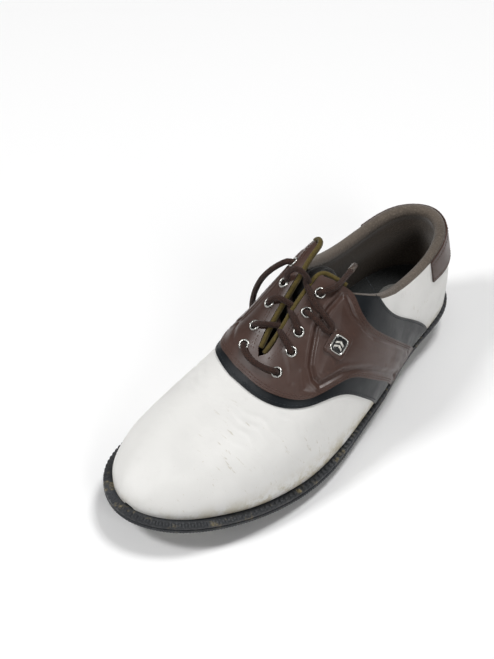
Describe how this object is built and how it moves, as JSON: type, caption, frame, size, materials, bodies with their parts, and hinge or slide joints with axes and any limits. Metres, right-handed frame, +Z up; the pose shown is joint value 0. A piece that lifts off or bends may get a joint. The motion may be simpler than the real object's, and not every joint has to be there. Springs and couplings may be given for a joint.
{
  "type": "golf shoe",
  "caption": "Left saddle-style golf shoe: white vamp and quarters, brown saddle over black trim, slack round laces, padded collar and twist-out soft cleats.",
  "frame": {"origin": "middle of the shoe's box on the ground under the cleat tips", "axes": "+Y from toe to heel, +X to the wearer's left, the outer side, +Z up"},
  "size_m": [0.1134, 0.2986, 0.1187],
  "materials": {
    "white_leather": "satin, lightly creased",
    "board": "matt",
    "lining_cloth": "matt weave",
    "knit_lining": "matt knit",
    "foam": "open foam",
    "black_leather": "satin grain",
    "brown_leather": "smooth, low gloss",
    "olive_binding": "matt edge tape",
    "enamel_plate": "gloss enamel",
    "motif_metal": "bright",
    "eyelet_metal": "bright, lightly worn",
    "sole_rubber": "matt moulded",
    "cork_filler": "matt",
    "steel": "brushed",
    "footbed_cloth": "matt brushed",
    "footbed_print": "matt print",
    "socket_plastic": "matt",
    "lace_cord": "round woven",
    "aglet_plastic": "clear sleeve",
    "tongue_cloth": "matt padded",
    "cleat_rubber": "matt moulded"
  },
  "bodies": {
    "shoe": {"vamp": "white_leather", "vamp_lining": "lining_cloth", "toe_puff": "board", "quarter": "white_leather", "facing_backer": "lining_cloth", "saddle_underlay": "black_leather", "saddle": "brown_leather", "heel_tab": "brown_leather", "heel_counter": "board", "collar_padding": "foam", "quarter_lining": "knit_lining", "collar_roll": "knit_lining", "binding_outer": "olive_binding", "binding_inner": "olive_binding", "eyelet_outer_1": "eyelet_metal", "eyelet_outer_2": "eyelet_metal", "eyelet_outer_3": "eyelet_metal", "eyelet_outer_4": "eyelet_metal", "eyelet_outer_5": "eyelet_metal", "eyelet_inner_1": "eyelet_metal", "eyelet_inner_2": "eyelet_metal", "eyelet_inner_3": "eyelet_metal", "eyelet_inner_4": "eyelet_metal", "eyelet_inner_5": "eyelet_metal", "badge_patch": "brown_leather", "badge_plate": "enamel_plate", "badge_motif": "motif_metal", "welt": "sole_rubber", "shank": "steel", "midsole": "cork_filler", "outsole": "sole_rubber", "insole_board": "board", "footbed": "footbed_cloth", "footbed_mark": "footbed_print", "cleat_sockets": "socket_plastic", "lace_outer": "lace_cord", "lace_inner": "lace_cord", "aglet_outer": "aglet_plastic", "aglet_inner": "aglet_plastic"},
    "tongue": {"tongue": "tongue_cloth", "tongue_padding": "tongue_cloth"},
    "cleat_1": {"cleat_1": "cleat_rubber"},
    "cleat_2": {"cleat_2": "cleat_rubber"},
    "cleat_3": {"cleat_3": "cleat_rubber"},
    "cleat_4": {"cleat_4": "cleat_rubber"},
    "cleat_5": {"cleat_5": "cleat_rubber"},
    "cleat_6": {"cleat_6": "cleat_rubber"},
    "cleat_7": {"cleat_7": "cleat_rubber"},
    "cleat_8": {"cleat_8": "cleat_rubber"}
  },
  "joints": [
    {"name": "tongue_fold", "type": "hinge", "parent": "shoe", "child": "tongue", "pos_m": [0, -0.0447, 0.06164], "axis": [1, 0, 0], "range_deg": [-8, 0]},
    {"name": "cleat_1_twist", "type": "hinge", "parent": "shoe", "child": "cleat_1", "pos_m": [0.0297, -0.0902, 0.00966], "axis": [0, 0.1309, 0.9914], "range_deg": [-60, 0]},
    {"name": "cleat_2_twist", "type": "hinge", "parent": "shoe", "child": "cleat_2", "pos_m": [-0.0323, -0.0862, 0.00915], "axis": [0, 0.1232, 0.9924], "range_deg": [-60, 0]},
    {"name": "cleat_3_twist", "type": "hinge", "parent": "shoe", "child": "cleat_3", "pos_m": [0.0337, -0.0462, 0.00589], "axis": [0, 0.0364, 0.9993], "range_deg": [-60, 0]},
    {"name": "cleat_4_twist", "type": "hinge", "parent": "shoe", "child": "cleat_4", "pos_m": [-0.0343, -0.0422, 0.00576], "axis": [0, 0.0265, 0.9996], "range_deg": [-60, 0]},
    {"name": "cleat_5_twist", "type": "hinge", "parent": "shoe", "child": "cleat_5", "pos_m": [-0.0033, -0.1142, 0.01312], "axis": [0, 0.145, 0.9894], "range_deg": [-60, 0]},
    {"name": "cleat_6_twist", "type": "hinge", "parent": "shoe", "child": "cleat_6", "pos_m": [0.0117, 0.0818, 0.0055], "axis": [0, 0, 1], "range_deg": [-60, 0]},
    {"name": "cleat_7_twist", "type": "hinge", "parent": "shoe", "child": "cleat_7", "pos_m": [-0.0183, 0.0818, 0.0055], "axis": [0, 0, 1], "range_deg": [-60, 0]},
    {"name": "cleat_8_twist", "type": "hinge", "parent": "shoe", "child": "cleat_8", "pos_m": [-0.0043, 0.1228, 0.0055], "axis": [0, 0, 1], "range_deg": [-60, 0]}
  ]
}
